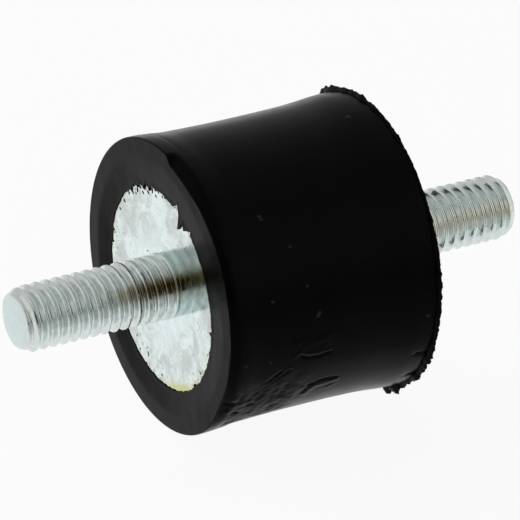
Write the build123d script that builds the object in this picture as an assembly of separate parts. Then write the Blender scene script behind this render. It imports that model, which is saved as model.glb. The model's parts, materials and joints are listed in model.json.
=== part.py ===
from build123d import *
import os
from math import cos, pi, radians, sin

# Bobbin vibration mount: a waisted rubber body moulded round two steel plates, with a
# threaded stud standing out of each end.
# Frame, in millimetres: the studs lie along X with the front stud towards -X, +Z is up,
# and the origin is on the axis at the middle of the rubber body.

# ---- Rubber body ----
rubber_length = 21.0
rim_diameter = 27.0
rim_band = 1.6          # width of the plain band at each end
rim_step = 0.2          # how far that band stands proud of the rubber beside it
step_run = 0.6          # length over which the step falls away
waist_depth = 0.17      # hollow of the waist at the middle, below the step
rim_round = 0.3         # rounding of the outer corner at each end face

# ---- Torn mould flash round the rear rim ----
flash_thickness = 1.0
flash_setback = 0.1     # from the rear end face to the flash
flash_least = 0.1       # stands this far out where it was trimmed clean
flash_tuft = 0.45       # extra reach at the middle of the two torn stretches
flash_ripple = 0.1      # unevenness of the tear
tuft_angle = radians(62)  # one torn stretch, from +Y towards +Z; the other is opposite

# ---- Plates and the rubber skin over them ----
edge_cover = 1.0        # rubber outside the plate's rim
plate_thickness = 1.5
plate_chamfer = 0.3     # corner rolled over by the press, on the outer side
skin = 0.35             # rubber over the plate's outer face
skin_lap = 3.2          # how far the skin laps in over the plate
lap_wander = 0.22       # unevenness of the skin's inner edge

# ---- Studs: M6 x 1, with a shoulder pressed through the plate and a head behind it ----
thread_diameter = 5.95
stud_reach = 14.35      # beyond the rubber's end face
point_length = 0.7      # chamfer at the stud's end
point_depth = 0.5       # how far that chamfer cuts in, on the radius
shoulder_step = 0.3     # the shoulder's radius over the thread's
head_overhang = 1.9     # the head's radius over the shoulder's
head_thickness = 1.8

# ---- Sizes that follow ----
rim_radius = rim_diameter / 2
end_x = rubber_length / 2
plate_radius = rim_radius - edge_cover
window_radius = plate_radius - skin_lap
plate_face_x = end_x - skin
plate_back_x = plate_face_x - plate_thickness
thread_radius = thread_diameter / 2
shoulder_radius = thread_radius + shoulder_step
head_radius = shoulder_radius + head_overhang
tip_x = end_x + stud_reach

TORN_POINTS = 96        # corners of each torn outline


def turned(*edges):
    """Solid of revolution about X, from edges that close on the axis."""
    return revolve(make_face(Curve() + list(edges)), axis=Axis.X)


def torn_disc(radius_at, x, length):
    """Disc along X with a jagged edge at radius_at(angle), the angle from +Y to +Z."""
    angles = [2 * pi * i / TORN_POINTS for i in range(TORN_POINTS)]
    corners = [(radius_at(a) * cos(a), radius_at(a) * sin(a)) for a in angles]
    across = Plane(origin=(x, 0, 0), x_dir=(0, 1, 0), z_dir=(1, 0, 0))
    return across * extrude(make_face(Polyline(*corners, close=True)), amount=length)


def flash_radius(angle):
    """Outline of the torn flash: two ragged stretches, and a low trimmed edge between."""
    tuft = flash_tuft * cos(angle - tuft_angle) ** 8 * (1 + 0.4 * sin(13 * angle))
    ripple = flash_ripple * (sin(7 * angle + 1.0) ** 2 + 0.5 * sin(15 * angle) ** 2)
    return rim_radius + flash_least + tuft + ripple


def window_outline(turn):
    """Outline of the opening in the skin over a plate, turned to differ end to end."""
    def radius_at(angle):
        a = angle + turn
        wander = sin(2 * a + 0.6) + 0.6 * sin(5 * a) + 0.4 * sin(11 * a + 2.0)
        return window_radius + lap_wander * wander / 2
    return radius_at


def stud():
    """Stud at the +X end: head in the rubber, shoulder in the plate, thread outside."""
    head_x = plate_back_x - head_thickness
    return turned(
        Polyline(
            (head_x, 0),
            (head_x, head_radius),
            (plate_back_x, head_radius),
            (plate_back_x, shoulder_radius),
            (plate_face_x, shoulder_radius),
            (plate_face_x, thread_radius),
            (tip_x - point_length, thread_radius),
            (tip_x, thread_radius - point_depth),
            (tip_x, 0),
            close=True,
        )
    )


def plate():
    """Steel disc at the +X end, holding the stud's shoulder."""
    return turned(
        Polyline(
            (plate_face_x, 0),
            (plate_face_x, plate_radius - plate_chamfer),
            (plate_face_x - plate_chamfer, plate_radius),
            (plate_back_x, plate_radius),
            (plate_back_x, 0),
            close=True,
        )
    ) - stud()


def rubber_blank():
    """Outside form of the rubber: two rim bands and a shallow waist between them."""
    beside_band = end_x - rim_band - step_run
    step_radius = rim_radius - rim_step
    on_arc = rim_round * (1 - sin(pi / 4))
    ends = []
    for side in (-1, 1):
        face_corner = (side * end_x, rim_radius - rim_round)
        mid_corner = (side * (end_x - on_arc), rim_radius - on_arc)
        band_corner = (side * (end_x - rim_round), rim_radius)
        band_end = (side * (end_x - rim_band), rim_radius)
        ends += [
            Line((side * end_x, 0), face_corner),
            ThreePointArc(face_corner, mid_corner, band_corner),
            Polyline(band_corner, band_end, (side * beside_band, step_radius)),
        ]
    waist = ThreePointArc(
        (-beside_band, step_radius),
        (0, step_radius - waist_depth),
        (beside_band, step_radius),
    )
    return turned(*ends, waist, Line((-end_x, 0), (end_x, 0)))


def at_front(shape):
    """The same piece at the -X end."""
    return Rot(0, 0, 180) * shape


rear_plate = plate()
rear_stud = stud()
front_plate = at_front(rear_plate)
front_stud = at_front(rear_stud)

flash = torn_disc(flash_radius, end_x - flash_setback - flash_thickness, flash_thickness)
rear_window = torn_disc(window_outline(0.0), plate_face_x, skin)
front_window = torn_disc(window_outline(2.4), -end_x, skin)
rubber_body = rubber_blank() + flash
for hollow in (rear_window, front_window, rear_plate, rear_stud, front_plate, front_stud):
    rubber_body -= hollow

os.makedirs("parts", exist_ok=True)
nodes = {
    "rubber_body": rubber_body,
    "front_plate": front_plate,
    "front_stud": front_stud,
    "rear_plate": rear_plate,
    "rear_stud": rear_stud,
}
for name, shape in nodes.items():
    export_step(shape, f"parts/{name}.step")
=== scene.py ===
import json
import math
import random

import bpy
import numpy as np
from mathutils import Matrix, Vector, noise


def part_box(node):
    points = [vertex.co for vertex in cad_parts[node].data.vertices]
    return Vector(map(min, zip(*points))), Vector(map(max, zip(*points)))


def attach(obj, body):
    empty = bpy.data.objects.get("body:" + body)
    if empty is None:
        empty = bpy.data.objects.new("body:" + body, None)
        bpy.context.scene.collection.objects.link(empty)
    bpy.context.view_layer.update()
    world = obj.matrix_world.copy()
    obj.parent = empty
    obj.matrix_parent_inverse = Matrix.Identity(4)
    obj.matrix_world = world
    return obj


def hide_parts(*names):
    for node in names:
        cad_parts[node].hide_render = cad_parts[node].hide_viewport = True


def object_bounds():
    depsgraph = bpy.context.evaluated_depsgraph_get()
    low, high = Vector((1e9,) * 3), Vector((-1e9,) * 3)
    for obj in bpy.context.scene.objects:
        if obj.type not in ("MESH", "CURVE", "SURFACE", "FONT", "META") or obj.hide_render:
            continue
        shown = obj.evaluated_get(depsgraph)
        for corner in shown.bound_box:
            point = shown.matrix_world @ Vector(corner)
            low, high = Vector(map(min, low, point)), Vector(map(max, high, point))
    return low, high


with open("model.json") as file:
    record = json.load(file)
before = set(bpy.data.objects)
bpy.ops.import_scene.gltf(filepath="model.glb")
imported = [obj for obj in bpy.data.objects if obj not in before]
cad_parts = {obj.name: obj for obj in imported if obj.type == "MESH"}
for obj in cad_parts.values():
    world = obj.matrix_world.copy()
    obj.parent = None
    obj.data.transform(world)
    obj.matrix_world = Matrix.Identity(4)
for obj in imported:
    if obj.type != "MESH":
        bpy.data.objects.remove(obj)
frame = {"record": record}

cad_low, cad_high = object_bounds()

# Bobbin vibration mount: a rubber body moulded round two zinc plated discs, each with a stud.
# Lengths below are in millimetres and angles in degrees, unless a comment says otherwise.
# An angle runs round the X axis from +Y towards +Z. The front end is towards -X.
MM = 0.001
TAU = 2 * math.pi

# ---- Sizes read from the frame ----


def node_box(node):
    """Lowest and highest corners of a CAD node."""
    low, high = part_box(node)
    return np.array(low) / MM, np.array(high) / MM


rubber_high = node_box("rubber_body")[1]
plate_low, plate_high = node_box("rear_plate")
stud_low, stud_high = node_box("rear_stud")
mounts = {mount["name"]: mount for mount in frame["record"]["mounts"]}

END_X = rubber_high[0]
PLATE_FACE_X = plate_high[0]
PLATE_BACK_X = plate_low[0]
PLATE_RADIUS = plate_high[2]
HEAD_X = stud_low[0]
HEAD_RADIUS = stud_high[2]
TIP_X = stud_high[0]
THREAD_RADIUS = mounts["rear_stud"]["dims"]["r_mm"]
SKIN = END_X - PLATE_FACE_X

# ---- Sizes that the frame doesn't give ----
EDGE_COVER = 1.0                    # rubber outside the plate's rim
RIM_RADIUS = PLATE_RADIUS + EDGE_COVER
RIM_ROUND = 0.14                    # rounding of the rim's corner at each end face
RIM_BAND = 1.6                      # width of the band at each end
RIM_STEP = 0.2                      # how far the rim stands out over the rubber beside it
STEP_RUN = 0.6                      # from the band to where the waist begins
WAIST_DEPTH = 0.17                  # hollow of the waist at the middle
FLARE_START = 5.0                   # from the middle to where the rear end begins to widen
GROOVE_X = 8.95                     # faint groove near the front end, round its +Y half
GROOVE_DEPTH = 0.025
SKIN_LAP = 3.1                      # how far the skin laps in over the plate
LIP_RUN = 2.3                       # over which the skin thins towards its torn edge
LIP_EDGE = 0.02                     # thickness left there
FACE_DOME = 0.088                   # how far the end face falls back at the rim
THIN_SIDE = 331                     # the angle where the skin thins and the face falls back most
PARED_FROM = 97                     # the angle where the pared stretch of the front rim begins
PARED_DEPTH = 0.45
CUT_RUN = 0.95                      # length of the pared corner along X
PITCH = 1.0                         # M6 coarse thread
THREAD_DEPTH = 0.54
THREAD_START = 0.28                 # turns by which the thread is wound on
STUD_CORE = THREAD_RADIUS - 0.1     # the stud where it goes through its plate
STUD_COLLAR = 0.05                  # how far it stands out over its thread against the plate
# The stud's end, in from the tip: distance along X and the radius left there.
POINT = ((0.0, 0.0), (0.02, 1.4), (0.08, 2.2), (0.15, 2.42), (0.26, 2.54), (0.45, 2.63),
         (0.75, 2.80), (1.05, THREAD_RADIUS))


# ---- Mesh helpers ----


def new_object(name, data):
    """An object in the scene that holds a mesh, a lamp or a camera."""
    thing = bpy.data.objects.new(name, data)
    bpy.context.scene.collection.objects.link(thing)
    return thing


def new_piece(name, verts, faces, material):
    """A smooth mesh object from points in millimetres, riding on the part."""
    mesh = bpy.data.meshes.new(name)
    mesh.from_pydata((np.asarray(verts) * MM).tolist(), [], faces)
    mesh.polygons.foreach_set("use_smooth", [True] * len(mesh.polygons))
    mesh.materials.append(material)
    mesh.update()
    piece = new_object(name, mesh)
    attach(piece, "root")
    return piece


def paint(piece, name, values):
    """Gives every point of a piece a value that its material reads by name."""
    layer = piece.data.attributes.new(name, "FLOAT", "POINT")
    layer.data.foreach_set("value", np.asarray(values, dtype=np.float32))


def even_angles(columns):
    """Angles in radians, evenly round the X axis."""
    return np.arange(columns) * TAU / columns


def ring_points(x, radius, angles):
    """Points round the X axis, from an x and a radius for every angle (in radians)."""
    return np.stack([x + 0 * angles, radius * np.cos(angles), radius * np.sin(angles)], axis=1)


def push_out(points, angles, amount):
    """Moves points away from the X axis, in place."""
    points[:, 1] += amount * np.cos(angles)
    points[:, 2] += amount * np.sin(angles)


def ring_faces(rows, columns, closed=False):
    """Quads between rings of points; closed joins the last ring to the first."""
    faces = []
    for i in range(rows if closed else rows - 1):
        a = i * columns
        b = ((i + 1) % rows) * columns
        for j in range(columns):
            k = (j + 1) % columns
            faces.append((a + j, a + k, b + k, b + j))
    return faces


def turned_mesh(rings):
    """Points and faces of a closed skin through the rings, gathered on the axis at both ends."""
    rows, columns = len(rings), len(rings[0])
    first_pole = rows * columns
    poles = [[rings[0][0][0], 0, 0], [rings[-1][0][0], 0, 0]]
    verts = np.vstack([*rings, poles])
    faces = ring_faces(rows, columns)
    last_ring = (rows - 1) * columns
    for j in range(columns):
        k = (j + 1) % columns
        faces.append((first_pole, k, j))
        faces.append((first_pole + 1, last_ring + j, last_ring + k))
    return verts, faces


def polar(points):
    """Angle in radians of each point round the X axis, and its distance from it."""
    return np.arctan2(points[:, 2], points[:, 1]), np.hypot(points[:, 1], points[:, 2])


def rough(points, size, seed, octaves=3):
    """Smooth noise, about -1 to 1, with features about size across, at each point."""
    shift = Vector((seed * 3.7, seed * 5.1, seed * 7.3))
    scaled = np.asarray(points) / size
    return np.array([
        noise.fractal(Vector(p) + shift, 1.0, 2.0, octaves) for p in scaled.tolist()
    ])


def smooth_step(value, low, high):
    """0 below low, 1 above high, and a smooth rise between them."""
    t = np.clip((value - low) / (high - low), 0, 1)
    return t * t * (3 - 2 * t)


def between(value, rise, fall):
    """1 inside and 0 outside, from the two values of the rise to the two of the fall."""
    return smooth_step(value, *rise) * (1 - smooth_step(value, *fall))


def bell(distance, half_width):
    """1 at no distance, falling to 0.37 at the half width and to nothing beyond it."""
    return np.exp(-(distance / half_width) ** 2)


def angle_gap(angles, centre):
    """Signed gap in degrees from each angle (in radians) to a centre in degrees."""
    return (np.degrees(angles) - centre + 180) % 360 - 180


def angle_bell(angles, centre, half_width):
    """1 at a centre in degrees, falling away within a few half widths on both sides."""
    return bell(angle_gap(angles, centre), half_width)


# ---- Materials ----
# Colours are linear red, green and blue, then alpha.
RUBBER_BLACK = (0.0015, 0.0012, 0.0012, 1)
RUBBER_WORN = (0.0022, 0.0018, 0.0017, 1)
DUST_COLOUR = (0.065, 0.060, 0.052, 1)
PLATE_DULL = (0.58, 0.62, 0.61, 1)
PLATE_BRIGHT = (0.76, 0.87, 0.86, 1)
PLATE_SCUFFED = (0.46, 0.48, 0.46, 1)
# Painted highlight: the brighter, bluer zinc painted round the stud.
PLATE_PAINTED_HIGHLIGHT = (0.77, 0.90, 0.90, 1)
PLATE_PITTED = (0.20, 0.19, 0.15, 1)
PLATE_STAINED = (0.60, 0.60, 0.26, 1)
STUD_DULL = (0.64, 0.68, 0.67, 1)
STUD_BRIGHT = (0.69, 0.78, 0.77, 1)
STUD_STRAW = (0.80, 0.76, 0.62, 1)
STUD_SPECKED = (0.30, 0.29, 0.27, 1)
STUD_CROPPED = (0.60, 0.72, 0.71, 1)
# Partly stain, partly painted shade: the dark brown on the front stud by its plate.
STUD_STAINED_AND_SHADED = (0.27, 0.21, 0.08, 1)


def new_material(name):
    material = bpy.data.materials.new(name)
    material.use_nodes = True
    return material, material.node_tree, material.node_tree.nodes["Principled BSDF"]


def add_node(tree, kind, inputs=None, **settings):
    """A node with its settings made and its inputs linked or filled in."""
    node = tree.nodes.new(kind)
    for key, value in settings.items():
        setattr(node, key, value)
    for key, value in (inputs or {}).items():
        if isinstance(value, bpy.types.NodeSocket):
            tree.links.new(value, node.inputs[key])
        else:
            node.inputs[key].default_value = value
    return node


def object_place(tree):
    return add_node(tree, "ShaderNodeTexCoord").outputs["Object"]


def painted(tree, name):
    """The value that paint() gave the piece under this name."""
    return add_node(tree, "ShaderNodeAttribute", attribute_name=name).outputs["Fac"]


def noise_value(tree, place, size, detail=4.0, roughness=0.55, distortion=0.0):
    """Noise from 0 to 1 with features about size across."""
    return add_node(tree, "ShaderNodeTexNoise", {
        "Vector": place, "Scale": 1 / (size * MM), "Detail": detail,
        "Roughness": roughness, "Distortion": distortion,
    }).outputs["Fac"]


def ranged(tree, value, low, high, to_low=0.0, to_high=1.0):
    """A value moved from the range low to high into to_low to to_high, and held there."""
    return add_node(tree, "ShaderNodeMapRange", {
        "Value": value, "From Min": low, "From Max": high, "To Min": to_low, "To Max": to_high,
    }).outputs["Result"]


def mixed(tree, factor, first, second):
    """A colour between first and second."""
    return add_node(tree, "ShaderNodeMix", {0: factor, 6: first, 7: second},
                    data_type="RGBA").outputs[2]


def maths(tree, operation, first, second):
    return add_node(tree, "ShaderNodeMath", {0: first, 1: second}, operation=operation).outputs[0]


def bumped(tree, height, strength, distance, normal=None):
    """A normal bent by a height map, on top of another normal where one is given."""
    inputs = {"Height": height, "Strength": strength, "Distance": distance * MM}
    if normal is not None:
        inputs["Normal"] = normal
    return add_node(tree, "ShaderNodeBump", inputs).outputs["Normal"]


def rubber_material():
    """Near-black moulded rubber, satin and faintly uneven.

    It reads "dust", the pale specks, and "matt", where it is cut or torn and doesn't shine.
    """
    material, tree, shader = new_material("rubber")
    place = object_place(tree)
    patches = noise_value(tree, place, 2.2)
    grain = noise_value(tree, place, 0.14, detail=3.0)
    base = mixed(tree, ranged(tree, patches, 0.35, 0.65), RUBBER_BLACK, RUBBER_WORN)
    base = mixed(tree, painted(tree, "dust"), base, DUST_COLOUR)
    tree.links.new(base, shader.inputs["Base Color"])

    matt = painted(tree, "matt")
    tree.links.new(ranged(tree, matt, 0, 1, 0.048, 0.012), shader.inputs["Specular IOR Level"])
    satin = ranged(tree, patches, 0.3, 0.7, 0.20, 0.28)
    roughness = maths(tree, "MAXIMUM", satin, maths(tree, "MULTIPLY", matt, 0.75))
    tree.links.new(roughness, shader.inputs["Roughness"])
    normal = bumped(tree, grain, 0.2, 0.012)
    tree.links.new(bumped(tree, patches, 0.2, 0.05, normal), shader.inputs["Normal"])
    return material


def plate_material():
    """Bright zinc, close to a mirror under soft scuffs, blotches and small pits.

    It reads a painted highlight, which makes the middle round the stud brighter and bluer, "worn",
    where the pits gather, and a yellowish stain film.
    """
    material, tree, shader = new_material("plate_zinc")
    place = object_place(tree)
    blotches = noise_value(tree, place, 2.6, distortion=1.0)
    scuffs = noise_value(tree, place, 0.9, detail=5.0, roughness=0.62, distortion=1.5)
    pits = noise_value(tree, place, 0.33, roughness=0.6)
    base = mixed(tree, ranged(tree, blotches, 0.40, 0.60), PLATE_DULL, PLATE_BRIGHT)
    base = mixed(tree, ranged(tree, scuffs, 0.34, 0.46, 0.7, 0.0), base, PLATE_SCUFFED)
    # Painted highlight: the zinc round the stud is painted brighter and bluer.
    base = mixed(tree, painted(tree, "painted_highlight"), base, PLATE_PAINTED_HIGHLIGHT)
    gathered = maths(tree, "SUBTRACT", pits, maths(tree, "MULTIPLY", painted(tree, "worn"), 0.10))
    base = mixed(tree, ranged(tree, gathered, 0.27, 0.33, 0.85, 0.0), base, PLATE_PITTED)
    base = mixed(tree, painted(tree, "stain_and_painted_shade"), base, PLATE_STAINED)
    tree.links.new(base, shader.inputs["Base Color"])

    shader.inputs["Metallic"].default_value = 1.0
    tree.links.new(ranged(tree, scuffs, 0.36, 0.58, 0.24, 0.08), shader.inputs["Roughness"])
    normal = bumped(tree, scuffs, 0.2, 0.015)
    tree.links.new(bumped(tree, blotches, 0.25, 0.05, normal), shader.inputs["Normal"])
    return material


def stud_material():
    """Rolled zinc thread, satin and patchy with dark specks.

    It reads "film", a straw tint, "cropped", the bare end of the stud, and a brown film that is
    partly stain and partly painted shade: the dark band the front stud reflects near its plate.
    """
    material, tree, shader = new_material("stud_zinc")
    place = object_place(tree)
    patches = noise_value(tree, place, 0.9, detail=3.0, roughness=0.5, distortion=0.8)
    grain = noise_value(tree, place, 0.45, detail=2.0, roughness=0.5)
    base = mixed(tree, ranged(tree, patches, 0.36, 0.64), STUD_DULL, STUD_BRIGHT)
    base = mixed(tree, painted(tree, "film"), base, STUD_STRAW)
    base = mixed(tree, ranged(tree, grain, 0.26, 0.33, 0.6, 0.0), base, STUD_SPECKED)
    base = mixed(tree, painted(tree, "cropped"), base, STUD_CROPPED)
    # Brown film by the front stud's plate: partly stain, partly painted shade of the dark band the
    # thread reflects.
    base = mixed(tree, painted(tree, "stain_and_painted_shade"), base, STUD_STAINED_AND_SHADED)
    tree.links.new(base, shader.inputs["Base Color"])

    shader.inputs["Metallic"].default_value = 1.0
    tree.links.new(ranged(tree, grain, 0.3, 0.7, 0.26, 0.15), shader.inputs["Roughness"])
    tree.links.new(bumped(tree, patches, 0.25, 0.03), shader.inputs["Normal"])
    return material


# ---- Rubber body ----
COLUMNS = 640
POCKET_ROWS = 5                     # rows in the pocket behind the skin, at each end
FACE_ROWS = 18                      # rows over the end face
LIP_ROWS = 3                        # the first of those, along the torn edge
CORNER_ROWS = 3                     # rows round the rim's corner
FACE_UNEVEN = 0.018                 # how far the end face dips on average
SIDE_MATT = 0.25                    # how matt the moulded side is, from 0 to 1
PARED_MATT = 0.35                   # how much more the pared corner is

# The window in the skin: its mean radius, how oval it is and how far it sits off the axis.
WINDOW_RADIUS = PLATE_RADIUS - SKIN_LAP
WINDOW_OVAL = 0.09
WINDOW_DROP = 0.24
WINDOW_DROP_TO = 278

# Teeth and tears in the skin round the front plate: angle, half width, reach inwards.
FRONT_TEARS = (
    (115.2, 2.6, 1.6), (121, 3.6, 0.75), (126.5, 1.0, -0.5), (108.8, 3.4, -0.95),
    (184, 1.6, 0.4), (229.6, 0.3, 0.35), (289, 1.2, 0.3), (7, 4.5, 0.2), (11, 1.0, 0.35),
    (3, 0.8, 0.3), (52, 1.2, 0.3), (57, 1.4, -0.25), (61, 1.0, 0.3), (65, 1.3, -0.2),
    (68.5, 0.9, 0.35), (72, 1.2, -0.3), (76, 1.1, 0.4), (80, 1.3, -0.2), (84, 0.9, 0.25),
    (96, 1.4, 0.2), (196, 1.2, 0.22),
)
REAR_TEARS = ((35, 2.5, 0.8), (150, 1.5, 0.5), (212, 4.0, 0.4), (300, 1.0, 0.6))


def window_radius(angles, seed, tears):
    """Ragged inner edge of the skin over a plate."""
    on_edge = ring_points(0, WINDOW_RADIUS, angles)
    radius = WINDOW_RADIUS + WINDOW_OVAL * np.cos(2 * angles)
    radius += WINDOW_DROP * np.cos(angles - math.radians(WINDOW_DROP_TO))
    wander, fray = rough(on_edge, 3.0, seed), rough(on_edge, 0.5, seed + 1, octaves=5)
    radius += 0.05 * wander + 0.10 * fray
    for centre, half_width, reach in tears:
        radius -= reach * np.clip(1 - np.abs(angle_gap(angles, centre)) / half_width, 0, 1)
    return radius


def corner_cut(angles):
    """How deep the front rim's corner is pared and worn away, on the radius."""
    begins = smooth_step(angle_gap(angles, PARED_FROM), -1.5, 3.5)
    deep = PARED_DEPTH * (1 - smooth_step(angle_gap(angles, 118), -8, 22))  # until 110 to 140
    shallow = 0.22 * (1 - smooth_step(angle_gap(angles, 215), -15, 15))     # until 200 to 230
    worn = 0.26 * angle_bell(angles, 214, 12)
    return begins * (deep + shallow) + worn


def skin_rows(side, window, angles):
    """Rows of (x, radius) from the pocket behind the plate out over the skin to the rim."""
    stop = RIM_RADIUS - RIM_ROUND - (corner_cut(angles) if side < 0 else 0)
    rows = [
        (HEAD_X, HEAD_RADIUS), (PLATE_BACK_X, HEAD_RADIUS),
        (PLATE_BACK_X, PLATE_RADIUS), (PLATE_FACE_X, PLATE_RADIUS), (PLATE_FACE_X, window),
    ]
    to_thin_side = np.cos(angles - math.radians(THIN_SIDE))
    dome = FACE_DOME * (0.6 + 0.4 * to_thin_side)
    thinned = (SKIN - LIP_EDGE) * np.minimum(0.74 + 0.34 * to_thin_side, 1)
    for share in np.linspace(0, 1, FACE_ROWS) ** 1.3:
        radius = window + share * (stop - window)
        thin = thinned * np.clip(1 - (radius - WINDOW_RADIUS) / LIP_RUN, 0, 1)
        out = np.clip((radius - WINDOW_RADIUS) / (stop - WINDOW_RADIUS), 0, 1)
        rows.append((END_X - thin - dome * out ** 2, radius))
    for turn in np.linspace(0, math.pi / 2, CORNER_ROWS + 1)[1:]:
        rows.append((END_X - dome - RIM_ROUND * (1 - math.cos(turn)),
                     stop + RIM_ROUND * math.sin(turn)))
    return [(side * x, radius) for x, radius in rows]


def end_rings(side, window, angles):
    """Rings of one end, its face very slightly uneven except along the torn edge."""
    rings = [ring_points(x, radius, angles) for x, radius in skin_rows(side, window, angles)]
    for ring in rings[POCKET_ROWS + LIP_ROWS:-CORNER_ROWS]:
        ring[:, 0] -= side * FACE_UNEVEN * (1 + rough(ring, 2.6, 21))
    return rings


def body_radius(x, angles):
    """Radius of the moulded form between the rim corners."""
    inner = END_X - RIM_BAND - STEP_RUN
    reach = abs(x)
    waist = RIM_RADIUS - RIM_STEP - WAIST_DEPTH * np.clip(1 - (x / inner) ** 2, 0, 1)
    if x > 0:
        return waist + RIM_STEP * smooth_step(reach, FLARE_START, END_X - 0.2) + 0 * angles
    side = waist + RIM_STEP * smooth_step(reach, inner - 1.6, END_X - 0.5)
    side -= GROOVE_DEPTH * bell(reach - GROOVE_X, 0.12) * (angle_gap(angles, PARED_FROM) < 0)
    into = (reach - END_X + FACE_DOME + RIM_ROUND) / CUT_RUN + 1
    return side - corner_cut(angles) * np.clip(into, 0, 1) ** 2


def body_stations():
    """Places along X between the two rim corners, closest where the rubber is scarred."""
    first, last = -END_X + RIM_ROUND + FACE_DOME, END_X - RIM_ROUND - FACE_DOME
    scarred = (-8.2, 2.2)
    return np.concatenate([
        np.linspace(first, scarred[0], 18)[1:],
        np.linspace(*scarred, 62)[1:],
        np.linspace(scarred[1], last, 25)[1:-1],
    ])


# Cuts and ridges in the moulded side: points of (x, angle), half width, height (below 0 is cut).
SCARS = (
    (((-3.41, 192.5), (-2.6, 194.6), (-1.72, 195.2), (-0.34, 194.4)), 0.15, -0.12),
    (((-3.5, 191.2), (-1.72, 193.9), (-0.3, 193.2)), 0.22, 0.05),
    (((-1.62, 187.7), (-0.72, 187.8)), 0.12, 0.06),
    (((-7.18, 207.5), (-5.79, 203.1), (-4.29, 198.9)), 0.15, -0.08),
    (((-7.0, 206.0), (-5.6, 201.8), (-4.2, 197.8)), 0.18, 0.05),
    (((-6.15, 202.4), (-5.04, 198.4)), 0.12, -0.10),
    (((-1.90, 216.8), (-1.43, 211.8), (-0.5, 210.4), (1.20, 210.8)), 0.15, -0.10),
    (((-1.6, 218.4), (-0.9, 213.6), (1.25, 212.6)), 0.30, 0.07),
    (((0.47, 218.0), (1.25, 215.9)), 0.12, 0.07),
    (((-10.29, 209.3), (-9.46, 210.0), (-9.82, 214.1)), 0.35, -0.08),
    (((-7.7, 214.3), (-6.8, 215.8)), 0.2, -0.07),
    (((-9.0, 217.0), (-8.2, 219.0)), 0.3, -0.05),
    (((-8.3, 211.0), (-6.9, 213.0)), 0.3, 0.06),
    (((8.9, 206.6), (10.17, 207.6)), 0.25, -0.12),
    (((9.3, 222.3), (10.3, 223.3)), 0.3, -0.14),
)
# Patches of the side, by where they rise and fall along X and then in angle: a flat raised
# leaf of rubber, and a stretch torn into lumps.
LEAF = ((-4.37, -3.87), (-0.47, -0.07)), ((184.3, 186.3), (192.5, 194.5))
TORN = ((-10.2, -8.6), (-3.4, -0.6)), ((199, 210), (228, 240))
# Pale dust: x, angle, size.
DUST = (
    (-5.42, 134.0, 0.13), (-5.36, 135.4, 0.12), (-3.50, 148.1, 0.11),
    (-2.53, 164.1, 0.11), (3.41, 158.4, 0.11), (-1.79, 177.2, 0.10),
    (-1.68, 176.5, 0.12), (-1.58, 175.7, 0.12), (-6.10, 166.9, 0.12), (-6.30, 192.5, 0.11),
    (-8.94, 190.4, 0.11), (9.19, 187.5, 0.14), (7.63, 97.7, 0.13),
)


def side_arc(angles):
    """Distance round the side to each angle (in radians)."""
    return angles * RIM_RADIUS


def line_distance(x, arc, points):
    """Distance from each place on the unrolled side to a line of (x, angle) points."""
    line = [(px, side_arc(math.radians(angle))) for px, angle in points]
    best = np.full(np.shape(x), np.inf)
    for (x0, a0), (x1, a1) in zip(line, line[1:]):
        run, rise = x1 - x0, a1 - a0
        t = np.clip(((x - x0) * run + (arc - a0) * rise) / (run * run + rise * rise), 0, 1)
        best = np.minimum(best, np.hypot(x - x0 - t * run, arc - a0 - t * rise))
    return best


def patch(x, angles, along, around):
    """1 inside a patch of the side and 0 outside it, with soft edges."""
    return between(x, *along) * between(np.degrees(angles), *around)


def side_offsets(x, angles):
    """How far the side stands off its moulded form at each place, and how matt it is there."""
    arc = side_arc(angles)
    places = ring_points(x, RIM_RADIUS, angles)
    wander, fray = rough(places, 0.8, 11), rough(places, 0.4, 16, octaves=2)
    offset = 0.012 * rough(places, 4.0, 12, octaves=2)  # faint waves all over
    matt = np.zeros(len(x))
    for points, half_width, height in SCARS:
        away = line_distance(x, arc, points) * (1 + 0.35 * wander) + 0.10 * fray
        strength = bell(away, half_width)
        offset += height * strength
        if height < 0:
            matt = np.maximum(matt, 0.8 * strength)
    offset += patch(x, angles, *LEAF) * (0.05 + 0.03 * rough(places, 0.5, 13))
    torn = patch(x, angles, *TORN)
    offset += torn * (0.08 * rough(places, 1.5, 14, octaves=2) + 0.06 * rough(places, 0.6, 15))
    return offset, np.maximum(matt, 0.5 * torn)


def dust_specks(x, angles):
    """How much dust covers each place on the side."""
    dust = np.zeros(len(x))
    for speck_x, speck_angle, size in DUST:
        away = np.hypot(x - speck_x, side_arc(angles) - side_arc(math.radians(speck_angle)))
        dust = np.maximum(dust, np.clip(1.35 - away / size, 0, 1))
    return dust


def build_rubber(material):
    angles = even_angles(COLUMNS)
    front = end_rings(-1, window_radius(angles, 1, FRONT_TEARS), angles)
    rear = end_rings(1, window_radius(angles, 5, REAR_TEARS), angles)
    body = [ring_points(x, body_radius(x, angles), angles) for x in body_stations()]
    rings = front + body + rear[::-1]

    # The side, from one rim corner to the other, gets its scars, fainter close to the ends.
    # It nowhere stands out past the rim.
    first, after = len(front) - 1, len(front) + len(body) + 1
    side = np.vstack(rings[first:after])
    x, turn = side[:, 0], np.tile(angles, after - first)
    offset, matt_side = side_offsets(x, turn)
    offset *= 0.3 + 0.7 * smooth_step(END_X - np.abs(x), 0.0, 0.5)
    push_out(side, turn, np.minimum(offset, RIM_RADIUS - np.hypot(side[:, 1], side[:, 2])))
    rings[first:after] = np.split(side, after - first)
    pared = corner_cut(turn) / PARED_DEPTH * smooth_step(-x, END_X - 1.5, END_X - 0.5)

    verts, faces = turned_mesh(rings)
    rubber = new_piece("rubber_bobbin", verts, faces, material)
    dust, matt = np.zeros(len(verts)), np.zeros(len(verts))
    on_side = slice(first * COLUMNS, after * COLUMNS)
    dust[on_side] = dust_specks(x, turn)
    matt[on_side] = np.maximum(matt_side, SIDE_MATT + PARED_MATT * np.clip(pared, 0, 1))
    paint(rubber, "dust", dust)
    paint(rubber, "matt", matt)
    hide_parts("rubber_body")


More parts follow.
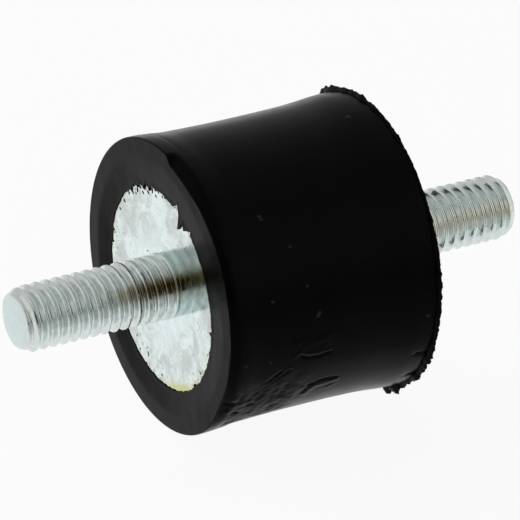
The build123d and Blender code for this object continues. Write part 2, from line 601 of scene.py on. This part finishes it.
# ---- Torn flash round the rear rim ----
# How far the flash stands out from the rim: angle, reach. Between these it runs straight.
FLASH_REACH = (
    (0, 0.12), (30, 0.16), (54, 0.20), (57, 0.45), (61, 0.50), (66, 0.46), (70, 0.40),
    (76, 0.36), (84, 0.32), (89, 0.43), (93, 0.26), (98, 0.36), (103, 0.24), (110, 0.26),
    (115, 0.34), (119, 0.22), (128, 0.20), (145, 0.24), (155, 0.32), (161, 0.43),
    (168, 0.36), (176, 0.48), (184, 0.36), (191, 0.44), (197, 0.36), (204, 0.44),
    (210, 0.52), (217, 0.40), (222, 0.42), (225, 0.52), (229, 0.28), (238, 0.34),
    (242, 0.80), (246, 0.62), (250, 0.80), (252, 0.35), (258, 0.16), (300, 0.12), (360, 0.12),
)
FLASH_ROOT = 0.35                   # how deep it starts inside the rubber
FLASH_MATT = 0.5
FLASH_DUST = 0.09


def build_flash(material):
    """A ragged ring of rubber squeezed out at the mould's parting line and torn off.

    torn goes from 0.05 where it was trimmed clean to 1 where most was torn. There the flash is
    thicker, lies further back from the end face, and is rougher. thick is half its thickness.
    """
    columns, around = 1440, 16
    angles = even_angles(columns)
    reach = np.interp(np.degrees(angles), *zip(*FLASH_REACH))
    on_rim = ring_points(END_X, RIM_RADIUS, angles)
    torn = np.clip((reach - 0.05) / 0.7, 0.05, 1)
    reach += torn * 0.12 * rough(on_rim, 1.2, 32, octaves=1)
    thick = 0.10 + torn * (0.32 + 0.12 * rough(on_rim, 0.9, 34, octaves=1))
    middle = END_X - 0.12 - torn * (0.26 - 0.12 * rough(on_rim, 1.2, 36, octaves=1))
    rings = []
    for turn in even_angles(around)[::-1]:  # this way round, the faces look outwards
        out = 0.5 + 0.5 * np.sin(turn)
        radius = RIM_RADIUS - FLASH_ROOT + (reach + FLASH_ROOT) * out
        x = middle + thick * np.cos(turn) * (1.25 - 0.6 * out)
        ring = ring_points(x, radius, angles)
        lump = rough(ring, 0.75, 33) * torn * out
        shred = rough(ring, 0.45, 35) * torn * out
        ring[:, 0] += 0.16 * lump + 0.08 * shred
        ring[:, 0] = np.minimum(ring[:, 0], END_X - 0.01)
        ring[:, 1:] *= (1 + (0.20 * lump + 0.26 * shred) / RIM_RADIUS)[:, None]
        rings.append(ring)
    verts = np.vstack(rings)
    flash = new_piece("torn_flash", verts, ring_faces(around, columns, closed=True), material)
    paint(flash, "matt", np.full(len(verts), FLASH_MATT))
    paint(flash, "dust", FLASH_DUST * np.tile(torn, around))


# ---- Plates ----
GAP = 0.01                          # keeps faces apart that would lie in one place
PLATE_STAIN = (249, 15)             # the yellowish film at the rim: angle and half width
STAIN_ZONE = (8.6, 9.4)             # radii where that film begins and is full
WORN_ZONE = (8.0, 9.4)              # radii where the pitted edge begins and is full
PAINTED_HIGHLIGHT_ZONE = (3.6, 7.2)             # radii where the painted highlight round the stud fades and ends


def build_plate(side, name, material):
    columns = 240
    angles = even_angles(columns)
    # The hole's edge is just inside the stud, and the rim just inside its pocket.
    hole, rim = STUD_CORE - 5 * GAP, PLATE_RADIUS - 2 * GAP
    rows = [(PLATE_BACK_X, hole), (PLATE_BACK_X, rim), (PLATE_FACE_X - GAP, rim)]
    rows += [(PLATE_FACE_X, radius) for radius in np.linspace(PLATE_RADIUS - 0.3, hole, 60)]
    rows = rows[::side]  # the same way round at both ends, so that the faces look outwards
    verts = np.vstack([ring_points(side * x, radius, angles) for x, radius in rows])
    plate = new_piece(name + "_zinc", verts, ring_faces(len(rows), columns, closed=True), material)
    turn, out = polar(verts)
    film = angle_bell(turn, *PLATE_STAIN) * smooth_step(out, *STAIN_ZONE)
    worn = smooth_step(out, *WORN_ZONE)
    # A painted highlight over the plate's middle round the stud, fading out towards the rim.
    painted_highlight = 1 - smooth_step(out + 0.8 * rough(verts, 3.0, 51, octaves=2), *PAINTED_HIGHLIGHT_ZONE)
    paint(plate, "stain_and_painted_shade", np.clip(0.9 * film + 0.15 * worn, 0, 1))
    paint(plate, "worn", worn)
    paint(plate, "painted_highlight", 0.6 * painted_highlight)
    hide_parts(name)


# Crumbs of rubber left on the front plate: angle, radius, length and width.
CRUMBS = (
    (41, 3.6, 0.16, 0.12), (52, 8.7, 0.6, 0.20), (56, 8.4, 0.35, 0.14), (59, 8.85, 0.55, 0.28),
    (63, 8.75, 0.65, 0.30), (66, 8.45, 0.45, 0.18), (70, 8.75, 0.75, 0.36), (73, 8.35, 0.5, 0.2),
    (75, 8.75, 0.6, 0.34), (79, 8.6, 0.65, 0.22), (83, 8.3, 0.35, 0.16), (86, 8.75, 0.6, 0.24),
    (91, 8.5, 0.3, 0.12), (94, 8.8, 0.4, 0.18), (47, 8.9, 0.5, 0.18),
    (38, 8.9, 0.5, 0.16), (29, 9.0, 0.45, 0.16),
    (101, 8.8, 0.4, 0.16), (106, 8.9, 0.35, 0.12), (289, 8.3, 0.6, 0.10), (10, 9.0, 0.4, 0.12),
    (4, 9.1, 0.5, 0.14), (292, 8.0, 0.35, 0.06), (305, 8.5, 0.3, 0.08), (320, 8.7, 0.3, 0.10),
    (152, 5.2, 0.2, 0.14), (271, 8.8, 0.3, 0.08), (218, 8.9, 0.3, 0.08), (200, 9.1, 0.25, 0.08),
    (192, 9.2, 0.3, 0.08), (313, 9.0, 0.4, 0.12), (298, 8.9, 0.35, 0.10), (340, 9.0, 0.35, 0.1),
)
CRUMB_RISE = 0.05                   # half a crumb's height
CRUMB_SIDES = 12
CRUMB_LAYERS = 3                    # rings of points between its top and its bottom


def crumb_mesh(first, angle, radius, length, width, picks):
    """Points and faces of one flattened, uneven lump. first is the number of its first point."""
    turn = math.radians(angle)
    lean = turn + math.radians(picks.uniform(-55, 55))
    radius += picks.uniform(-0.1, 0.3)
    centre = np.array([-PLATE_FACE_X, radius * math.cos(turn), radius * math.sin(turn)])
    along = np.array([0, math.cos(lean), math.sin(lean)])
    across = np.array([0, -math.sin(lean), math.cos(lean)])
    up = np.array([-CRUMB_RISE, 0, 0])
    verts, faces = [], []
    for layer in range(1, CRUMB_LAYERS + 1):
        rise = layer * math.pi / (CRUMB_LAYERS + 1)
        for around in even_angles(CRUMB_SIDES):
            share = picks.uniform(0.75, 1.15) * math.sin(rise) / 2
            verts.append(centre + along * length * share * math.cos(around)
                         + across * width * share * math.sin(around) + up * math.cos(rise))
    verts += [centre + up, centre - up]
    top, bottom = first + len(verts) - 2, first + len(verts) - 1
    last = first + (CRUMB_LAYERS - 1) * CRUMB_SIDES
    for k in range(CRUMB_SIDES):
        after = (k + 1) % CRUMB_SIDES
        for a in range(first, last, CRUMB_SIDES):
            b = a + CRUMB_SIDES
            faces.append((a + k, a + after, b + after, b + k))
        faces += [(top, first + after, first + k), (bottom, last + k, last + after)]
    return verts, faces


def build_crumbs(material):
    verts, faces = [], []
    picks = random.Random(7)
    for crumb in CRUMBS:
        more_verts, more_faces = crumb_mesh(len(verts), *crumb, picks)
        verts += more_verts
        faces += more_faces
    crumbs = new_piece("rubber_crumbs", verts, faces, material)


# ---- Studs ----
STUD_COLUMNS = 180
STEPS_PER_TURN = 22
THREAD_FROM_X = PLATE_FACE_X + 0.14
RUN_OUT = (0.5, 6.5)                # from the plate: where the thread deepens, and is full
RUN_OUT_DEPTH = 0.52                # share of the thread's depth at the plate
ROOT_EDGE = 0.44                    # from a crest's middle to the root's edge, in turns
FLANK_SLOPE = 1.4                   # depth gained over each unit of length down a flank
STUD_WEAR = 0.035                   # depth worn off the thread in patches
STUD_STAIN_AND_SHADE = (152, 17)              # the brown film on the front stud, partly stain and partly painted shade: angle and half width
STUD_STAIN_AND_SHADE_RUN = (1.5, 8.5)         # from the plate, where it fades and ends
STRAW_FILM = (160, 18)              # the straw tint on the rear stud: angle and half width


def thread_radius_at(x, angles):
    """Radius of the right-hand thread, shallower where it runs out at the plate."""
    from_crest = 0.5 - np.abs((x / PITCH - angles / TAU + THREAD_START) % 1.0 - 0.5)
    full = smooth_step(abs(x) - PLATE_FACE_X, *RUN_OUT)
    depth = THREAD_DEPTH * (RUN_OUT_DEPTH + (1 - RUN_OUT_DEPTH) * full)
    run = depth / FLANK_SLOPE
    down = np.clip((from_crest - ROOT_EDGE + run) / run, 0, 1)
    return THREAD_RADIUS - depth * (0.8 * down + 0.2 * smooth_step(down, 0, 1))


def stud_rows(side, angles):
    """Rows of (x, radius) from the head out to the tip."""
    rows = [
        (HEAD_X, HEAD_RADIUS), (PLATE_BACK_X, HEAD_RADIUS), (PLATE_BACK_X, STUD_CORE),
        (PLATE_FACE_X - 2 * GAP, STUD_CORE),
        (PLATE_FACE_X - 2 * GAP, THREAD_RADIUS + STUD_COLLAR + GAP),
        (PLATE_FACE_X + STUD_COLLAR, THREAD_RADIUS + STUD_COLLAR),
        (PLATE_FACE_X + 2 * STUD_COLLAR, THREAD_RADIUS),
    ]
    count = round((TIP_X - THREAD_FROM_X) / PITCH * STEPS_PER_TURN)
    for x in np.linspace(THREAD_FROM_X, TIP_X - POINT[4][0], count):
        point = np.interp(TIP_X - x, *zip(*POINT))
        rows.append((x, np.minimum(thread_radius_at(side * x, angles), point)))
    return rows + [(TIP_X - away, radius) for away, radius in POINT[3:0:-1]]


def build_stud(side, name, material):
    angles = even_angles(STUD_COLUMNS)
    rows = stud_rows(side, angles)[::side]  # towards +X at both ends
    rings = [ring_points(side * x, np.broadcast_to(radius, angles.shape), angles)
             for x, radius in rows]
    verts, faces = turned_mesh(rings)
    reach = np.abs(verts[:, 0])
    worn = (reach > THREAD_FROM_X) * np.clip(rough(verts, 1.1, 41 + side) + 0.2, 0, 1)
    verts[:, 1:] *= (1 - STUD_WEAR * worn / THREAD_RADIUS)[:, None]
    stud = new_piece(name + "_threaded", verts, faces, material)

    turn = polar(verts)[0]
    stain_and_painted_shade, film = np.zeros(len(verts)), np.zeros(len(verts))
    # On the front stud, a brown film by the plate on the side towards the camera: partly stain,
    # partly painted shade.
    if side < 0:
        near_plate = 1 - smooth_step(reach - PLATE_FACE_X, *STUD_STAIN_AND_SHADE_RUN)
        stain_and_painted_shade = near_plate * angle_bell(turn, *STUD_STAIN_AND_SHADE) * (reach > PLATE_FACE_X)
    else:
        film = 0.5 * angle_bell(turn, *STRAW_FILM)
    paint(stud, "stain_and_painted_shade", stain_and_painted_shade)
    paint(stud, "film", film)
    paint(stud, "cropped", 0.65 * (reach > TIP_X - POINT[2][0] - GAP))
    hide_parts(name)


# ---- Floor, light and camera ----
FLOOR_REACH = 4.0                   # metres from the middle to each edge
CAMERA_AZIMUTH = -28.9
CAMERA_ELEVATION = 25.7
CAMERA_DISTANCE = 518.1
CAMERA_LENS = 402.9                 # focal length for a sensor 36 mm wide
CAMERA_AIM = (-0.18, 0.18, 0.15)
# The one lamp: place and size in metres, power in watts.
KEY_PLACE = (-0.58, 0.94, 0.68)
KEY_SIZE = 1.2
KEY_POWER = 11


def white_to_camera(tree, shader_output, share=1.0):
    """Mixes a surface with plain white for camera, glossy and transmission rays."""
    path = add_node(tree, "ShaderNodeLightPath")
    seen = maths(tree, "MAXIMUM", path.outputs["Is Camera Ray"], path.outputs["Is Glossy Ray"])
    seen = maths(tree, "MAXIMUM", seen, path.outputs["Is Transmission Ray"])
    white = add_node(tree, "ShaderNodeEmission", {"Color": (1, 1, 1, 1), "Strength": 1.0})
    mix = add_node(tree, "ShaderNodeMixShader", {
        0: maths(tree, "MULTIPLY", seen, share), 1: shader_output, 2: white.outputs[0],
    })
    return mix.outputs[0]


def build_floor():
    mesh = bpy.data.meshes.new("floor")
    reach, low = FLOOR_REACH, cad_low[2]
    mesh.from_pydata([(-reach, -reach, low), (reach, -reach, low), (reach, reach, low),
                      (-reach, reach, low)], [], [(0, 1, 2, 3)])
    floor = new_object("floor", mesh)
    material, tree, shader = new_material("floor_white")
    shader.inputs["Base Color"].default_value = (0.86, 0.86, 0.86, 1)
    shader.inputs["Roughness"].default_value = 0.8
    tree.links.new(white_to_camera(tree, shader.outputs[0], 0.93),
                   tree.nodes["Material Output"].inputs["Surface"])
    mesh.materials.append(material)


def build_world():
    world = bpy.data.worlds.new("studio")
    bpy.context.scene.world = world
    world.use_nodes = True
    tree = world.node_tree
    ambient = tree.nodes["Background"]
    ambient.inputs["Color"].default_value = (1, 1, 1, 1)
    ambient.inputs["Strength"].default_value = 0.25
    tree.links.new(white_to_camera(tree, ambient.outputs[0]),
                   tree.nodes["World Output"].inputs["Surface"])


def aim(thing, target):
    """Turns a lamp or camera to look at a point, both in metres."""
    away = thing.location - Vector(target)
    thing.rotation_mode = "QUATERNION"
    thing.rotation_quaternion = away.to_track_quat("Z", "Y")


def build_key_light():
    """A square area lamp above and behind the part, left out of its reflections."""
    lamp = bpy.data.lights.new("key", "AREA")
    lamp.shape = "SQUARE"
    lamp.size = KEY_SIZE
    lamp.energy = KEY_POWER
    key = new_object("key", lamp)
    key.location = KEY_PLACE
    key.visible_glossy = False
    aim(key, (0, 0, 0))


# A cloth round the part that is seen only as reflections in it: an arch from the floor at the
# back over the top and down in front, then an apron over the floor in front. Each row is the
# turn from the back over the top, and the glow at three places: far left (-X), left and right.
TENT = (
    (3, 0.78, 0.70, 0.66), (20, 0.78, 0.70, 0.66), (40, 0.78, 0.70, 0.66), (60, 0.78, 0.70, 0.66),
    (80, 0.77, 0.70, 0.66), (102, 0.76, 0.64, 0.66), (122, 0.74, 0.44, 0.72),
    (138, 0.70, 0.14, 0.86), (150, 0.64, 0.01, 0.90), (162, 0.60, 0.0, 0.84),
    (172, 0.58, 0.0, 0.68), (180, 0.56, 0.02, 0.58),
)
TENT_RADIUS = 1.15                  # metres
# The apron: distance in front of the axis in metres, and the same three glows.
APRON = ((0.11, 0.50, 0.36, 0.58), (0.035, 0.60, 0.62, 0.66), (0.015, 0.68, 0.70, 0.72))
# Across the cloth: x in metres, and which of the three glows it has there.
CLOTH_COLUMNS = ((-1.6, 0), (-0.95, 1), (-0.25, 1), (0.25, 2), (1.6, 2))
END_WALL_GLOW = 0.85
CLOTH_COLOUR = (1, 0.98, 0.96, 1)


def tent_mesh():
    """Points, faces and each point's glow: the cloth, and a flat wall at each end of the arch."""
    low = cad_low[2] + 0.0005  # just over the floor
    edges = []
    for turn, *glow in TENT:
        turn = math.radians(turn)
        edges.append((TENT_RADIUS * math.cos(turn), TENT_RADIUS * math.sin(turn) + low, glow))
    edges += [(-away, low, glow) for away, *glow in APRON]
    verts = [(x, y, z) for y, z, _ in edges for x, _ in CLOTH_COLUMNS]
    glows = [glow[column] for _, _, glow in edges for _, column in CLOTH_COLUMNS]
    across = len(CLOTH_COLUMNS)
    faces = []
    for a in range(0, len(verts) - across, across):
        b = a + across
        faces += [(a + k, a + k + 1, b + k + 1, b + k) for k in range(across - 1)]
    for x in (CLOTH_COLUMNS[0][0], CLOTH_COLUMNS[-1][0]):
        wall = [(x, y, z) for y, z, _ in edges[:len(TENT)]]
        faces.append(tuple(range(len(verts), len(verts) + len(wall))))
        verts += wall
        glows += [END_WALL_GLOW] * len(wall)
    return verts, faces, glows


def build_tent():
    verts, faces, glows = tent_mesh()
    mesh = bpy.data.meshes.new("tent")
    mesh.from_pydata(verts, [], faces)
    tent = new_object("tent", mesh)
    paint(tent, "glow", glows)
    material = bpy.data.materials.new("tent_cloth")
    material.use_nodes = True
    tree = material.node_tree
    cloth = add_node(tree, "ShaderNodeEmission", {
        "Color": CLOTH_COLOUR, "Strength": painted(tree, "glow"),
    })
    tree.links.new(cloth.outputs[0], tree.nodes["Material Output"].inputs["Surface"])
    mesh.materials.append(material)
    tent.visible_camera = False
    tent.visible_diffuse = False
    tent.visible_shadow = False


def build_camera():
    azimuth, elevation = math.radians(CAMERA_AZIMUTH), math.radians(CAMERA_ELEVATION)
    back = Vector((math.sin(azimuth) * math.cos(elevation),
                   -math.cos(azimuth) * math.cos(elevation), math.sin(elevation)))
    data = bpy.data.cameras.new("camera")
    data.lens = CAMERA_LENS
    data.sensor_width = 36.0
    data.clip_start, data.clip_end = 0.01, 20.0
    camera = new_object("camera", data)
    target = Vector(CAMERA_AIM) * MM
    camera.location = target + back * CAMERA_DISTANCE * MM
    aim(camera, target)
    bpy.context.scene.camera = camera


# ---- The scene ----
bpy.context.scene.view_settings.view_transform = "Standard"
rubber = rubber_material()
plate_zinc = plate_material()
stud_zinc = stud_material()

build_rubber(rubber)
build_flash(rubber)
build_crumbs(rubber)
for side, end in ((-1, "front"), (1, "rear")):
    build_plate(side, end + "_plate", plate_zinc)
    build_stud(side, end + "_stud", stud_zinc)

build_floor()
build_world()
build_tent()
build_key_light()
build_camera()
